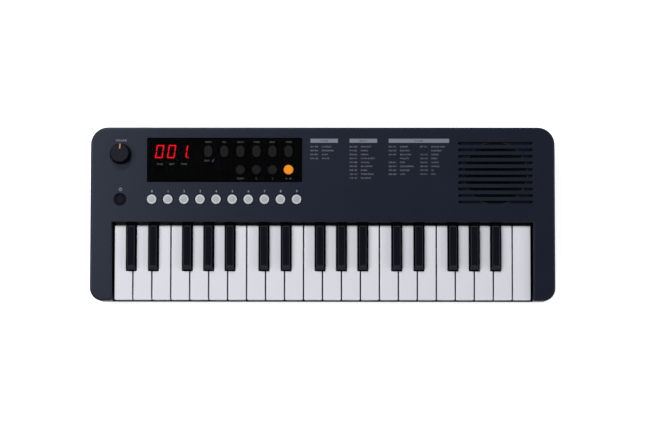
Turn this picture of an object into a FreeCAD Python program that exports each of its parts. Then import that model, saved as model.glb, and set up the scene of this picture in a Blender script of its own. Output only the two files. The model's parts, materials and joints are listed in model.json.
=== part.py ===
"""A 37-key mini keyboard synthesizer with a built-in speaker, as an assembly of separate pieces.

Frame: +Z up, +X towards the high notes, +Y away from the player, millimetres. The origin is on the surface
that the feet stand on, under the middle of the case. Each piece is written to parts/NAME.step.
"""

import FreeCAD, Part
import math
import os

V = FreeCAD.Vector

# ---- case -------------------------------------------------------------------------------------------------
WIDTH = 481.2
DEPTH = 180.4
TOP = 45.0  # height of the control panel and of the cheeks beside the keys
CASE_BOTTOM = 3.0  # the feet lift the case this far
PARTING = 19.0  # height of the joint line between the two casings
WALL = 2.2
REAR_RADIUS = 18.0  # corner radii in plan
FRONT_RADIUS = 13.5
TOP_EDGE_RADIUS = 2.2
BOTTOM_EDGE_RADIUS = 8.0
SHADOW_GAP = 0.4  # the lower casing stands in by this much, which draws the joint line
INNER_WALL = 2.0
HALF_WIDTH = WIDTH / 2
FRONT_Y = -DEPTH / 2
REAR_Y = DEPTH / 2
CEILING = TOP - WALL
FLOOR = CASE_BOTTOM + WALL

# ---- keys -------------------------------------------------------------------------------------------------
PITCH = 19.65  # one white key to the next
OCTAVES = 3
WHITE_COUNT = 7 * OCTAVES + 1
KEY_GAP = 1.4
SIDE_GAP = 1.85  # between an end key and its cheek
LEFT_X = -WHITE_COUNT * PITCH / 2
OPENING_HALF = -LEFT_X + SIDE_GAP
PANEL_FRONT_Y = -8.5  # front edge of the control panel, where the keys come out
SKIRT_BOTTOM = 31.6  # the keys pass under the panel's skirt here
KEY_FRONT_Y = FRONT_Y + 1.6
KEY_REAR_Y = PANEL_FRONT_Y - 3.2
WHITE_TOP = 38.0
WHITE_BOTTOM = 26.5
BLACK_TOP = 46.0
BLACK_BOTTOM = 29.0
BLACK_SHOULDER = 39.2  # the black key's sides lean in above this height
BLACK_WIDTH = 10.2
BLACK_TOP_WIDTH = 7.4
BLACK_FRONT_Y = -58.0
BLACK_SLOPE = 4.2  # how far the top's front edge stands behind the foot of the slope
NOTCH_HALF = BLACK_WIDTH / 2 + 0.5
NOTCH_Y = BLACK_FRONT_Y - 1.0
KEY_WALL = 1.3
KEY_EDGE_RADIUS = 0.75  # the rounding of a white key's upper edges
KEY_CORNER_RADIUS = 1.0
KEY_SKIN = 1.8
PIVOT_Y = 3.0
PIVOT_Z = 27.0
RAIL_RADIUS = 2.0
CLIP_CLEARANCE = 0.06
CLIP_RADIUS = 4.2
CLIP_MOUTH = 3.2
TAIL_TOP = 31.0
TAIL_BOTTOM = 24.6
TAIL_INSET = 0.3
ACTUATOR_Y = -42.0
DOME_TOP = 20.6
ACTUATOR_BOTTOM = DOME_TOP + 0.2

# Note names of an octave, and where each black key's centre stands, in white keys from the octave's C.
WHITE_NOTES = ["c", "d", "e", "f", "g", "a", "b"]
BLACK_NOTES = {"c_sharp": 0.915, "d_sharp": 2.085, "f_sharp": 3.875, "g_sharp": 5.0, "a_sharp": 6.125}
FIRST_OCTAVE = 3

# ---- key bed ----------------------------------------------------------------------------------------------
FRAME_BOTTOM = 12.0
FRAME_TOP = 14.0
FRAME_HALF = -LEFT_X - 0.7
FRAME_FRONT_Y = -86.2
FRAME_REAR_Y = 7.4
STOP_DEPTH = 4.0
STOP_TOP = 18.0
FELT_TOP = 20.5
GUIDE_GAP = 0.4
WHITE_GUIDE_Y = -77.0
BLACK_GUIDE_Y = -55.2
WHITE_GUIDE = (1.2, 30.0)  # half thickness and top of a guide post
BLACK_GUIDE = (0.8, 33.0)
BOARD_THICKNESS = 1.6
CONTACT_Y = (-51.5, -32.5)

# ---- control panel ----------------------------------------------------------------------------------------
COLUMN = 16.67  # pitch of the buttons along the panel
NUMBER_X = [-101.9 + COLUMN * (i - 4.5) for i in range(10)]
NUMBER_Y = 15.1
NUMBER_RADIUS = 4.85
NUMBER_HOLE = NUMBER_RADIUS + 0.55
FUNCTION_X = [-118.6 + COLUMN * i for i in range(6)]
FUNCTION_Y = 65.0
FUNCTION_SIZE = (8.5, 12.2)
SELECT_X = FUNCTION_X[2:5]
SELECT_Y = 45.9
SELECT_RADIUS = 4.75
START_X = FUNCTION_X[5]
START_RADIUS = 4.9
KNOB_X = -209.9
KNOB_Y = 62.4
POWER_Y = NUMBER_Y
POWER_RADIUS = 4.5
POWER_HOLE = 5.3
POWER_DISH = 6.9
BUTTON_GAP = 0.35  # between a cap and the edge of its hole
CAP_FLANGE = (41.2, 42.4)  # the flange that keeps a cap in, under the panel
STEM_RADIUS = 2.0
STEM_BOTTOM = 37.6
WINDOW = (-182.0, -21.2, 33.1, 79.1)  # x from, x to, y from, y to
WINDOW_THICKNESS = 1.95
WINDOW_LEDGE = 2.5
WINDOW_SEAT = TOP - WINDOW_THICKNESS - 0.05
BOARD = (-224.0, -11.0, 8.0, 75.5)
BOARD_TOP = 34.5
SWITCH_TOP = 38.3
SWITCH_HALF = 3.1
BOARD_POSTS = [(-195.0, 70.0), (-190.0, 26.5), (-102.0, 26.5), (-16.0, 60.0)]
LED_CENTRE = (-156.7, 64.3)
LED_SIZE = (37.7, 19.0)
LED_TOP = 42.5
DIGIT_PITCH = 12.4
KNOB_BOTTOM = TOP + 0.7
KNOB_TOP = 56.6
KNOB_FOOT_RADIUS = 11.0
KNOB_TOP_RADIUS = 9.2
POINTER_ANGLE = -4.5  # the pointer stands this far clockwise of straight back
POINTER_HALF = 0.6
POINTER_START = 4.4  # from the knob's middle to the pointer's inner end
POINTER_DEPTH = 0.9
SHAFT_RADIUS = 2.95

# ---- speaker ----------------------------------------------------------------------------------------------
SPEAKER_X = 179.2
SPEAKER_Y = 42.9
SLOT_COUNT = 10
SLOT_PITCH = 6.79
SLOT_LENGTH = 77.5
SLOT_WIDTH = 2.9
SPEAKER_OPENING = 34.0
BAFFLE_HALF = 42.0
BAFFLE_BOTTOM = 39.0
SLOT_FLOOR = 40.6
SLOT_EDGE_RADIUS = 0.4
SPEAKER_FRAME_HALF = 36.0
SPEAKER_SCREWS = [(a, b) for a in (-31.0, 31.0) for b in (-27.16, 27.16)]  # between the slots
COIL_RADIUS = 9.0  # voice coil, outside

# ---- back, underside and fasteners ------------------------------------------------------------------------
JACK_Z = 29.6
PEDAL_X = 80.0
PHONES_X = 101.0
USB_X = 117.0
JACK_FACE_Y = REAR_Y - WALL - 0.2
PEDAL_BORE = 3.25
PHONES_BORE = 1.8
SOCKET_PLATE = (69.0, 127.0, 40.0)  # ends along X and upper edge of the plate round the sockets' holes
JACK_BOARD = (70.0, 124.0, 58.0, 86.4)
JACK_BOARD_BOTTOM = 22.0
JACK_SCREWS = [(91.5, 62.0), (119.0, 62.0)]
BAY_Y = 58.0
BAY_HALF_X = 59.0
BAY_HALF_Y = 15.6
BAY_TOP = 20.5
BAY_WALL = 1.6
COVER_HALF_X = 62.0
COVER_HALF_Y = 18.4
COVER_THICKNESS = 2.0
COVER_GAP = 0.3
COVER_BOTTOM = CASE_BOTTOM + 0.1
HINGE_Y = BAY_Y - COVER_HALF_Y + COVER_THICKNESS / 2
HINGE_Z = COVER_BOTTOM + COVER_THICKNESS / 2
HINGE_PIN = 0.7
HINGE_CLEARANCE = 0.08
CELL_ROWS = [BAY_Y - 7.6, BAY_Y + 7.6]
CELL_Z = 13.0
FEET = [(216.0, 66.0), (216.0, -70.0), (-216.0, 66.0), (-216.0, -70.0)]
FOOT_RADIUS = 6.5
FOOT_RECESS = 1.0
CASE_SCREWS = [(x, y) for x in (228.0, -228.0) for y in (46.0, -10.0, -58.0)]
CASE_SCREWS += [(0.0, 12.5), (-118.0, 81.0), (134.0, 81.0)]
BOSS_RADIUS = 3.4
SCREW_RADIUS = 1.5
PILOT_GAP = 0.02
COUNTERBORE = (3.2, 9.0)  # radius, and the height that it reaches
FRAME_POSTS = [(x, y) for x in (-180.0, -60.0, 60.0, 180.0) for y in (-70.0, -24.0)]
FRAME_SCREW_RADIUS = 1.2


# ---- helpers ----------------------------------------------------------------------------------------------
def box(x0, x1, y0, y1, z0, z1):
    return Part.makeBox(x1 - x0, y1 - y0, z1 - z0, V(x0, y0, z0))


def disc(x, y, radius, z0, z1):
    return Part.makeCylinder(radius, z1 - z0, V(x, y, z0))


def cone(x, y, low_radius, high_radius, z0, z1):
    return Part.makeCone(low_radius, high_radius, z1 - z0, V(x, y, z0))


def rod_x(radius, x0, x1, y, z):
    return Part.makeCylinder(radius, x1 - x0, V(x0, y, z), V(1, 0, 0))


def rod_y(radius, x, y0, y1, z):
    return Part.makeCylinder(radius, y1 - y0, V(x, y0, z), V(0, 1, 0))


def rounded_face(x0, x1, y0, y1, front_radius, rear_radius, z):
    """A flat rectangle with round corners, whose front and rear corners may differ."""
    corners = [(x1, y0, front_radius, -90), (x1, y1, rear_radius, 0)]
    corners += [(x0, y1, rear_radius, 90), (x0, y0, front_radius, 180)]
    arcs = []
    for x, y, radius, start in corners:
        centre = V(x - math.copysign(radius, x - x0 - 1e-9), y - math.copysign(radius, y - y0 - 1e-9), z)
        spots = [math.radians(start + turn) for turn in (0, 45, 90)]
        arcs.append([centre + V(math.cos(a), math.sin(a), 0) * radius for a in spots])
    edges = []
    for i, (first, middle, last) in enumerate(arcs):
        edges.append(Part.Arc(first, middle, last).toShape())
        following = arcs[(i + 1) % 4][0]
        if last.distanceToPoint(following) > 1e-6:
            edges.append(Part.makeLine(last, following))
    return Part.Face(Part.Wire(edges))


def rounded(x0, x1, y0, y1, radius, z0, z1, rear_radius=None):
    rear = radius if rear_radius is None else rear_radius
    return rounded_face(x0, x1, y0, y1, radius, rear, z0).extrude(V(0, 0, z1 - z0))


def slot(x, y, length, width, z0, z1):
    """A slot with round ends, lying along X or along Y, whichever side is longer."""
    return rounded(
        x - length / 2, x + length / 2, y - width / 2, y + width / 2, min(length, width) / 2, z0, z1
    )


def case_outline(inset, z0, z1):
    """The case's plan outline, moved in by inset, as an upright prism."""
    return rounded(
        -HALF_WIDTH + inset,
        HALF_WIDTH - inset,
        FRONT_Y + inset,
        REAR_Y - inset,
        FRONT_RADIUS - inset,
        z0,
        z1,
        REAR_RADIUS - inset,
    )


def prism(points, direction):
    """A closed outline of points, extruded along direction."""
    return Part.Face(Part.makePolygon([*points, points[0]])).extrude(direction)


def fuse(first, *others):
    return first.multiFuse(list(others)).removeSplitter()


def edges_where(shape, test):
    return [e for e in shape.Edges if test([v.Point for v in e.Vertexes])]


def edges_at(shape, z):
    return edges_where(shape, lambda points: all(abs(p.z - z) < 1e-4 for p in points))


def save(name, *solids):
    shape = solids[0] if len(solids) == 1 else Part.makeCompound(list(solids))
    if not shape.isValid() or not shape.Solids:
        raise ValueError(f"{name} isn't a valid solid")
    shape.exportStep(f"parts/{name}.step")


# ---- casings ----------------------------------------------------------------------------------------------
def key_opening():
    """The case above the key bed, opened to the front, with its upper edges rounded over."""
    shell = case_outline(0, PARTING, TOP)
    shell = shell.makeFillet(TOP_EDGE_RADIUS, edges_at(shell, TOP))
    opening = box(-OPENING_HALF, OPENING_HALF, FRONT_Y - 1, PANEL_FRONT_Y, 0, TOP + 1)
    lining = box(
        -OPENING_HALF - INNER_WALL,
        OPENING_HALF + INNER_WALL,
        FRONT_Y - 1,
        PANEL_FRONT_Y + INNER_WALL,
        0,
        TOP + 1,
    )
    cavity = case_outline(WALL, PARTING - 1, CEILING).cut(lining)
    shell = shell.cut([opening, cavity])
    rim = edges_where(
        shell,
        lambda points: all(abs(p.z - TOP) < 1e-4 for p in points)
        and (
            all(abs(abs(p.x) - OPENING_HALF) < 1e-4 for p in points)
            or all(abs(p.y - PANEL_FRONT_Y) < 1e-4 for p in points)
        ),
    )
    shell = shell.makeFillet(1.0, rim)
    key_way = box(
        -OPENING_HALF, OPENING_HALF, PANEL_FRONT_Y - 1, PANEL_FRONT_Y + INNER_WALL + 1, 0, SKIRT_BOTTOM
    )
    return shell.cut(key_way)


def window_box(grow, z0, z1, radius):
    x0, x1, y0, y1 = WINDOW
    return rounded(x0 - grow, x1 + grow, y0 - grow, y1 + grow, radius, z0, z1)


def grille():
    """The slots, which open into a round pocket over the speaker and are blind outside it."""
    slots = []
    for i in range(SLOT_COUNT):
        y = SPEAKER_Y + SLOT_PITCH * (i - (SLOT_COUNT - 1) / 2)
        slots.append(slot(SPEAKER_X, y, SLOT_LENGTH, SLOT_WIDTH, SLOT_FLOOR, TOP + 1))
    pocket = disc(SPEAKER_X, SPEAKER_Y, SPEAKER_OPENING, BAFFLE_BOTTOM - 1, SLOT_FLOOR + 0.3)
    return [*slots, pocket]


def upper_case():
    """The shell, and the plate of its back wall that has the sockets' holes, face to face with it."""
    shell = key_opening()
    baffle = box(
        SPEAKER_X - BAFFLE_HALF,
        SPEAKER_X + BAFFLE_HALF,
        SPEAKER_Y - BAFFLE_HALF,
        SPEAKER_Y + BAFFLE_HALF,
        BAFFLE_BOTTOM,
        CEILING + 0.5,
    )
    bosses = [disc(x, y, BOSS_RADIUS, PARTING, CEILING + 0.5) for x, y in CASE_SCREWS]
    posts = [disc(x, y, 2.4, BOARD_TOP, CEILING + 0.5) for x, y in BOARD_POSTS]
    shell = fuse(shell, baffle, window_box(2.0, 41.2, CEILING + 0.5, 3.0), *bosses, *posts)

    cuts = [window_box(0.12, WINDOW_SEAT, TOP + 1, 1.4), window_box(-WINDOW_LEDGE, 40, TOP + 1, 1.0)]
    cuts += grille()
    for x in NUMBER_X:
        cuts.append(disc(x, NUMBER_Y, NUMBER_HOLE, 40, TOP + 1))
        cuts.append(cone(x, NUMBER_Y, NUMBER_HOLE - 0.2, NUMBER_HOLE + 0.5, TOP - 0.6, TOP + 0.1))
    cuts.append(disc(KNOB_X, POWER_Y, POWER_HOLE, 40, TOP + 1))
    cuts.append(cone(KNOB_X, POWER_Y, POWER_HOLE, POWER_DISH, TOP - 1.6, TOP + 0.1))
    cuts.append(disc(KNOB_X, KNOB_Y, 4.1, 40, TOP + 1))
    for x, y in CASE_SCREWS:
        cuts.append(disc(x, y, SCREW_RADIUS + PILOT_GAP, PARTING - 1, PARTING + 16))
    for x, y in BOARD_POSTS:
        cuts.append(disc(x, y, 1.0 + PILOT_GAP, BOARD_TOP - 1, BOARD_TOP + 5))
    for x, y in SPEAKER_SCREWS:
        cuts.append(disc(SPEAKER_X + x, SPEAKER_Y + y, 1.2 + PILOT_GAP, BAFFLE_BOTTOM - 1, 42.1))
    cuts.append(rod_y(6.6, PEDAL_X, REAR_Y - WALL - 1, REAR_Y + 1, JACK_Z))
    cuts.append(rod_y(4.4, PHONES_X, REAR_Y - WALL - 1, REAR_Y + 1, JACK_Z))
    usb_hole = rounded(USB_X - 4.9, USB_X + 4.9, JACK_Z - 2.05, JACK_Z + 2.05, 2.0, 0, WALL + 2)
    usb_hole.rotate(V(0, 0, 0), V(1, 0, 0), 90)
    usb_hole.translate(V(0, REAR_Y + 1, 0))
    shell = shell.cut(cuts + [usb_hole])
    slot_rims = edges_where(
        shell,
        lambda points: all(abs(p.z - TOP) < 1e-4 and abs(p.x - SPEAKER_X) < BAFFLE_HALF for p in points),
    )
    slot_rims = [e for e in slot_rims if abs(e.BoundBox.YMax - SPEAKER_Y) < SPEAKER_OPENING]
    shell = shell.makeFillet(SLOT_EDGE_RADIUS, slot_rims)
    left, right, top = SOCKET_PLATE
    plate_region = box(left, right, REAR_Y - WALL, REAR_Y + 1, PARTING - 1, top)
    return [shell.cut(plate_region), shell.common(plate_region)]


def lower_case():
    outside = case_outline(SHADOW_GAP, CASE_BOTTOM, PARTING)
    outside = outside.makeFillet(BOTTOM_EDGE_RADIUS, edges_at(outside, CASE_BOTTOM))
    inside = case_outline(SHADOW_GAP + WALL, FLOOR, PARTING + 1)
    inside = inside.makeFillet(BOTTOM_EDGE_RADIUS - WALL, edges_at(inside, FLOOR))
    tray = outside.cut(inside)

    bay = box(
        -BAY_HALF_X - BAY_WALL,
        BAY_HALF_X + BAY_WALL,
        BAY_Y - BAY_HALF_Y - BAY_WALL,
        BAY_Y + BAY_HALF_Y + BAY_WALL,
        FLOOR - 1,
        BAY_TOP + BAY_WALL,
    )
    rim_x = COVER_HALF_X + COVER_GAP + BAY_WALL
    rim_y = COVER_HALF_Y + COVER_GAP + BAY_WALL
    bay_rim = box(-rim_x, rim_x, BAY_Y - rim_y, BAY_Y + rim_y, FLOOR - 1, FLOOR + BAY_WALL)
    posts = [disc(x, y, BOSS_RADIUS + 0.6, FLOOR - 1, PARTING) for x, y in CASE_SCREWS]
    posts += [disc(x, y, 3.0, FLOOR - 1, FRAME_BOTTOM) for x, y in FRAME_POSTS]
    posts += [disc(x, y, 2.6, FLOOR - 1, JACK_BOARD_BOTTOM) for x, y in JACK_SCREWS]
    tray = fuse(tray, bay, bay_rim, *posts)

    cuts = [box(-BAY_HALF_X, BAY_HALF_X, BAY_Y - BAY_HALF_Y, BAY_Y + BAY_HALF_Y, 0, BAY_TOP)]
    mouth_x = COVER_HALF_X + COVER_GAP
    mouth_y = COVER_HALF_Y + COVER_GAP
    mouth_top = CASE_BOTTOM + COVER_THICKNESS + 0.2
    cuts.append(box(-mouth_x, mouth_x, BAY_Y - mouth_y, BAY_Y + mouth_y, 0, mouth_top))
    for x, y in CASE_SCREWS:
        cuts.append(disc(x, y, COUNTERBORE[0], 0, COUNTERBORE[1]))
        cuts.append(disc(x, y, SCREW_RADIUS + 0.2, 0, PARTING + 1))
    for x, y in FRAME_POSTS:
        cuts.append(disc(x, y, FRAME_SCREW_RADIUS + PILOT_GAP, FLOOR + 1, FRAME_BOTTOM + 1))
    for x, y in JACK_SCREWS:
        cuts.append(disc(x, y, 1.0 + PILOT_GAP, JACK_BOARD_BOTTOM - 5, JACK_BOARD_BOTTOM + 1))
    cuts += [disc(x, y, FOOT_RADIUS + 0.1, 0, CASE_BOTTOM + FOOT_RECESS) for x, y in FEET]
    cuts.append(rod_x(HINGE_PIN + HINGE_CLEARANCE, -mouth_x - 1.4, mouth_x + 1.4, HINGE_Y, HINGE_Z))
    return tray.cut(cuts)


def battery_cover():
    """A flat lid that turns on two pins at its round front edge, with a grooved tongue for a catch."""
    low = COVER_BOTTOM
    rear = BAY_Y + COVER_HALF_Y
    plate = box(-COVER_HALF_X, COVER_HALF_X, HINGE_Y, rear, low, low + COVER_THICKNESS)
    edge = rod_x(COVER_THICKNESS / 2, -COVER_HALF_X, COVER_HALF_X, HINGE_Y, HINGE_Z)
    pins = rod_x(HINGE_PIN, -COVER_HALF_X - 1.4, COVER_HALF_X + 1.4, HINGE_Y, HINGE_Z)
    grooves = [box(-9, 9, rear - 5.2 - 2.0 * i, rear - 4.2 - 2.0 * i, 0, low + 0.7) for i in range(4)]
    slits = [box(x - 0.5, x + 0.5, BAY_Y + 6, rear + 1, 0, FLOOR) for x in (-12, 12)]
    return fuse(plate, edge, pins).cut(grooves + slits)


def rubber_feet():
    feet = []
    for x, y in FEET:
        foot = disc(x, y, FOOT_RADIUS, 0, CASE_BOTTOM + FOOT_RECESS)
        feet.append(foot.makeFillet(0.8, edges_at(foot, 0)))
    return feet


# ---- keys -------------------------------------------------------------------------------------------------
def black_centres():
    """Where every black key's centre stands, keyed by its note name."""
    centres = {}
    for octave in range(OCTAVES):
        for note, place in BLACK_NOTES.items():
            centres[f"{note}{FIRST_OCTAVE + octave}"] = LEFT_X + PITCH * (7 * octave + place)
    return centres


def white_edges(index):
    """(left, right) of a white key's full width, then of its narrow part between black keys."""
    left = LEFT_X + PITCH * index + KEY_GAP / 2
    right = LEFT_X + PITCH * (index + 1) - KEY_GAP / 2
    narrow_left, narrow_right = left, right
    for centre in black_centres().values():
        if abs(centre - (left - KEY_GAP / 2)) < PITCH / 4:
            narrow_left = centre + NOTCH_HALF
        if abs(centre - (right + KEY_GAP / 2)) < PITCH / 4:
            narrow_right = centre - NOTCH_HALF
    return left, right, narrow_left, narrow_right


def add_tail(body, left, right):
    """Joins the lever behind a key's head to it, ending in the clip that snaps on the pivot rail."""
    lever = box(left, right, KEY_REAR_Y - 1.2, PIVOT_Y, TAIL_BOTTOM, TAIL_TOP)
    clip = rod_x(CLIP_RADIUS, left, right, PIVOT_Y, PIVOT_Z)
    bore = rod_x(RAIL_RADIUS + CLIP_CLEARANCE, left - 1, right + 1, PIVOT_Y, PIVOT_Z)
    mouth = box(left - 1, right + 1, PIVOT_Y - CLIP_MOUTH / 2, PIVOT_Y + CLIP_MOUTH / 2, 0, PIVOT_Z)
    return fuse(body, lever, clip).cut([bore, mouth])


def actuator(x, width, top):
    """The rib inside a key that presses its rubber dome."""
    return box(x - width / 2, x + width / 2, ACTUATOR_Y - 2.5, ACTUATOR_Y + 2.5, ACTUATOR_BOTTOM, top)


def white_key(index):
    left, right, narrow_left, narrow_right = white_edges(index)
    head = box(left, right, KEY_FRONT_Y, NOTCH_Y, WHITE_BOTTOM, WHITE_TOP)
    neck = box(narrow_left, narrow_right, NOTCH_Y - 1, KEY_REAR_Y, WHITE_BOTTOM, WHITE_TOP)
    body = fuse(head, neck)
    front_corners = edges_where(
        body, lambda p: all(abs(q.y - KEY_FRONT_Y) < 1e-4 for q in p) and abs(p[0].z - p[-1].z) > 1
    )
    body = body.makeFillet(KEY_CORNER_RADIUS, front_corners)
    body = body.makeFillet(KEY_EDGE_RADIUS, edges_at(body, WHITE_TOP))
    ceiling = WHITE_TOP - KEY_SKIN
    hollows = [
        box(left + KEY_WALL, right - KEY_WALL, KEY_FRONT_Y + 1.6, NOTCH_Y - KEY_WALL, 0, ceiling),
        box(narrow_left + KEY_WALL, narrow_right - KEY_WALL, NOTCH_Y - 3, KEY_REAR_Y - 1.5, 0, ceiling),
    ]
    body = body.cut(hollows)
    body = fuse(body, actuator((narrow_left + narrow_right) / 2, 5.0, ceiling + 0.5))
    return add_tail(body, narrow_left + TAIL_INSET, narrow_right - TAIL_INSET)


def black_key(x):
    half = BLACK_WIDTH / 2
    top_half = BLACK_TOP_WIDTH / 2
    side = [
        V(x - half, BLACK_FRONT_Y, BLACK_BOTTOM),
        V(x - half, BLACK_FRONT_Y + 0.4, BLACK_SHOULDER),
        V(x - half, BLACK_FRONT_Y + BLACK_SLOPE, BLACK_TOP),
        V(x - half, KEY_REAR_Y - 0.8, BLACK_TOP),
        V(x - half, KEY_REAR_Y, BLACK_SHOULDER),
        V(x - half, KEY_REAR_Y, BLACK_BOTTOM),
    ]
    section = [
        V(x - half, KEY_REAR_Y, BLACK_BOTTOM),
        V(x + half, KEY_REAR_Y, BLACK_BOTTOM),
        V(x + half, KEY_REAR_Y, BLACK_SHOULDER),
        V(x + top_half, KEY_REAR_Y, BLACK_TOP),
        V(x - top_half, KEY_REAR_Y, BLACK_TOP),
        V(x - half, KEY_REAR_Y, BLACK_SHOULDER),
    ]
    body = prism(side, V(BLACK_WIDTH, 0, 0)).common(prism(section, V(0, BLACK_FRONT_Y - KEY_REAR_Y, 0)))
    body = body.removeSplitter()
    body = body.makeFillet(0.8, edges_where(body, lambda p: max(q.z for q in p) > BLACK_TOP - 1e-3))
    inner = half - KEY_WALL
    hollows = [
        box(x - inner, x + inner, BLACK_FRONT_Y + 1.8, KEY_REAR_Y - 1.5, 0, BLACK_SHOULDER),
        box(x - 2.5, x + 2.5, BLACK_FRONT_Y + BLACK_SLOPE + 1.5, KEY_REAR_Y - 2.5, 0, BLACK_TOP - 2.2),
    ]
    body = body.cut(hollows)
    body = fuse(body, actuator(x, 4.0, BLACK_TOP - 2.0))
    tail_half = half - 0.6
    return add_tail(body, x - tail_half, x + tail_half)


def dome_places():
    """Where the rubber dome under each key stands along X."""
    places = list(black_centres().values())
    for index in range(WHITE_COUNT):
        _, _, narrow_left, narrow_right = white_edges(index)
        places.append((narrow_left + narrow_right) / 2)
    return sorted(places)


# ---- key bed ----------------------------------------------------------------------------------------------
def key_frame():
    """The key bed: a plate, the pivot rail on its web, a guide post in each key, and the felt stop."""
    plate = box(-FRAME_HALF, FRAME_HALF, FRAME_FRONT_Y, FRAME_REAR_Y, FRAME_BOTTOM, FRAME_TOP)
    stop = box(-FRAME_HALF, FRAME_HALF, FRAME_FRONT_Y, FRAME_FRONT_Y + STOP_DEPTH, FRAME_BOTTOM, STOP_TOP)
    web = box(-FRAME_HALF, FRAME_HALF, PIVOT_Y - 0.7, PIVOT_Y + 0.7, FRAME_BOTTOM, PIVOT_Z)
    rail = rod_x(RAIL_RADIUS, -FRAME_HALF, FRAME_HALF, PIVOT_Y, PIVOT_Z)
    guides = []
    inset = KEY_WALL + GUIDE_GAP
    front, rear = WHITE_GUIDE_Y - WHITE_GUIDE[0], WHITE_GUIDE_Y + WHITE_GUIDE[0]
    for index in range(WHITE_COUNT):
        left, right, _, _ = white_edges(index)
        guides.append(box(left + inset, right - inset, front, rear, FRAME_BOTTOM, WHITE_GUIDE[1]))
    half = BLACK_WIDTH / 2 - inset
    front, rear = BLACK_GUIDE_Y - BLACK_GUIDE[0], BLACK_GUIDE_Y + BLACK_GUIDE[0]
    for x in black_centres().values():
        guides.append(box(x - half, x + half, front, rear, FRAME_BOTTOM, BLACK_GUIDE[1]))
    frame = fuse(plate, stop, web, rail, *guides)
    frame = frame.cut([disc(x, y, FRAME_SCREW_RADIUS + 0.2, 0, FRAME_TOP + 1) for x, y in FRAME_POSTS])
    felt_rear = FRAME_FRONT_Y + STOP_DEPTH - 0.2
    felt = box(-FRAME_HALF, FRAME_HALF, FRAME_FRONT_Y + 0.2, felt_rear, STOP_TOP, FELT_TOP)
    return [frame, felt]


def key_contact_board():
    return box(-FRAME_HALF + 2, FRAME_HALF - 2, *CONTACT_Y, FRAME_TOP, FRAME_TOP + BOARD_THICKNESS)


def key_contact_strip():
    """A rubber strip with one hollow dome under each key."""
    low = FRAME_TOP + BOARD_THICKNESS
    strip = box(-FRAME_HALF + 3, FRAME_HALF - 3, CONTACT_Y[0] + 1.5, CONTACT_Y[1] - 1.5, low, low + 1.0)
    domes = [cone(x, ACTUATOR_Y, 4.2, 2.6, low, DOME_TOP) for x in dome_places()]
    hollows = [cone(x, ACTUATOR_Y, 3.3, 1.8, low - 0.1, DOME_TOP - 1.4) for x in dome_places()]
    return fuse(strip, *domes).cut(hollows)


# ---- control panel ----------------------------------------------------------------------------------------
def round_cap(x, y, radius, top, bevel=0.9, hole=None):
    """A round button cap: bevelled rim, shallow dish, flange under the panel and stem down to its switch."""
    low, high = CAP_FLANGE
    cap = disc(x, y, radius, low, top - 0.5 * bevel)
    rim = cone(x, y, radius, radius - bevel, top - 0.5 * bevel, top)
    flange = disc(x, y, (hole or radius) + 1.0, low, high)
    stem = disc(x, y, STEM_RADIUS, STEM_BOTTOM, low + 0.5)
    dish = cone(x, y, radius - bevel - 1.0, radius - bevel - 0.5, top - 0.25, top)
    return fuse(cap, rim, flange, stem).cut(dish)


def oval_cap(x, y, top):
    """An oval button cap that stands through the display window."""
    length, width = FUNCTION_SIZE
    low, high = CAP_FLANGE
    cap = slot(x, y, length, width, low, top)
    cap = cap.makeFillet(0.5, edges_at(cap, top))
    flange = slot(x, y, length + 1.6, width + 1.6, low, high)
    stem = disc(x, y, STEM_RADIUS, STEM_BOTTOM, low + 0.5)
    return fuse(cap, flange, stem)


def display_window():
    """The gloss panel over the display, with a hole for each button that stands through it."""
    plate = window_box(0, WINDOW_SEAT, WINDOW_SEAT + WINDOW_THICKNESS, 1.3)
    length, width = FUNCTION_SIZE
    holes = []
    for x in FUNCTION_X:
        grow = 2 * BUTTON_GAP
        holes.append(slot(x, FUNCTION_Y, length + grow, width + grow, 40, TOP + 1))
    for x in SELECT_X:
        holes.append(disc(x, SELECT_Y, SELECT_RADIUS + BUTTON_GAP, 40, TOP + 1))
    holes.append(disc(START_X, SELECT_Y, START_RADIUS + BUTTON_GAP, 40, TOP + 1))
    plate = plate.cut(holes)
    return plate.makeChamfer(0.2, edges_at(plate, WINDOW_SEAT + WINDOW_THICKNESS))


def led_display():
    """A three-digit display module with a shallow well for each digit."""
    x, y = LED_CENTRE
    length, width = LED_SIZE
    body = box(x - length / 2, x + length / 2, y - width / 2, y + width / 2, BOARD_TOP, LED_TOP)
    half = DIGIT_PITCH / 2 - 0.4
    centres = [x + DIGIT_PITCH * i for i in (-1, 0, 1)]
    return body.cut([box(c - half, c + half, y - 8.6, y + 8.6, LED_TOP - 0.3, LED_TOP + 1) for c in centres])


def button_places():
    places = [(x, NUMBER_Y) for x in NUMBER_X]
    places += [(x, FUNCTION_Y) for x in FUNCTION_X]
    places += [(x, SELECT_Y) for x in [*SELECT_X, START_X]]
    return places + [(KNOB_X, POWER_Y)]


def control_board():
    """The panel's circuit board, with a switch housing under each button that its stem presses into."""
    board = box(*BOARD, BOARD_TOP - BOARD_THICKNESS, BOARD_TOP)
    board = board.cut([disc(x, y, 1.3, 0, TOP) for x, y in BOARD_POSTS])
    switches = []
    half = SWITCH_HALF
    for x, y in button_places():
        housing = box(x - half, x + half, y - half, y + half, BOARD_TOP, SWITCH_TOP)
        switches.append(housing.cut(disc(x, y, STEM_RADIUS + 0.2, BOARD_TOP + 1.3, TOP)))
    chip = box(-70, -56, 26, 40, BOARD_TOP, BOARD_TOP + 1.8)
    return [board, *switches, chip]


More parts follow.
